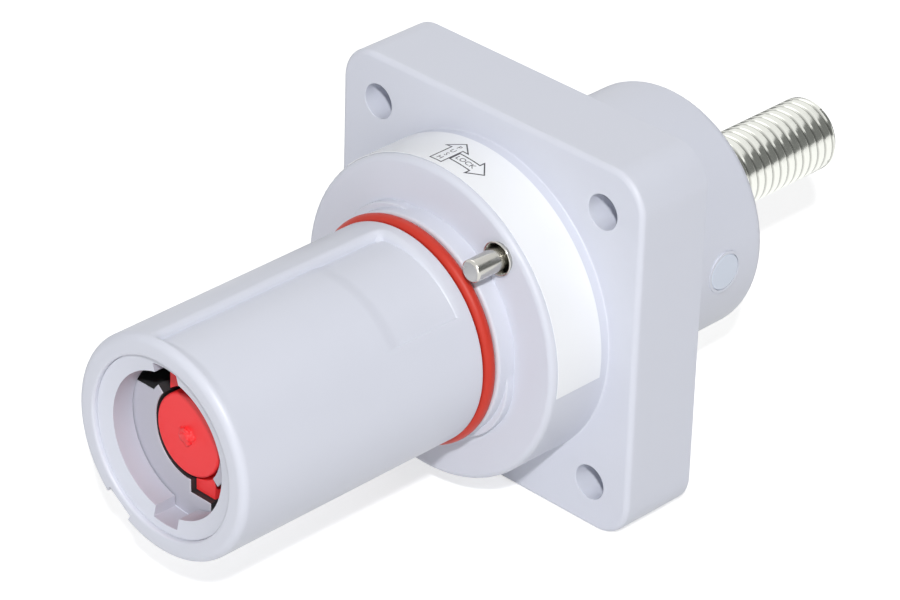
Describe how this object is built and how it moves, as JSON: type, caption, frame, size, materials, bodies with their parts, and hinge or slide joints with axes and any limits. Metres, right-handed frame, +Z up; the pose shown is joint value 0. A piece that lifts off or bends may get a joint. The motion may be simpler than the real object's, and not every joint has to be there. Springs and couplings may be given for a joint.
{
  "type": "high current panel connector",
  "caption": "Panel-mount power connector: square flange, long insulated mating sleeve with seal ring, sprung lock pin, finger guard in the mouth and a threaded rear stud.",
  "frame": {"origin": "centre of the flange's rear face, on the contact axis", "axes": "+Y along the contact axis towards the terminal stud, +Z up, the mating end towards -Y"},
  "size_m": [0.06, 0.1366, 0.06],
  "materials": {
    "housing_plastic": "satin moulded plastic",
    "guard_plastic": "satin moulded plastic",
    "plated_contact": "silver plated",
    "spring_bronze": "bright strip",
    "inner_seal": "matte rubber",
    "screw_steel": "dark oxide",
    "plug_plastic": "satin",
    "front_seal": "smooth silicone rubber",
    "nickel": "bright nickel plate",
    "spring_steel": "bright wire",
    "label_film": "smooth printed film"
  },
  "bodies": {
    "connector": {"housing": "housing_plastic", "bayonet_ring": "housing_plastic", "guard_tip": "guard_plastic", "contact": "plated_contact", "contact_band": "spring_bronze", "contact_seal": "inner_seal", "grub_screw": "screw_steel", "hub_plug": "plug_plastic", "front_seal": "front_seal", "lock_spring": "spring_steel", "lock_bush": "nickel", "label_strip": "label_film"},
    "pin": {"lock_pin": "nickel"}
  },
  "joints": [
    {"name": "lock_pin_slide", "type": "slide", "parent": "connector", "child": "pin", "axis": [0, 1, 0], "range_m": [0, 0.0055], "stiffness_N_per_m": 600, "springref_m": -0.004, "deforming": ["lock_spring"]}
  ]
}
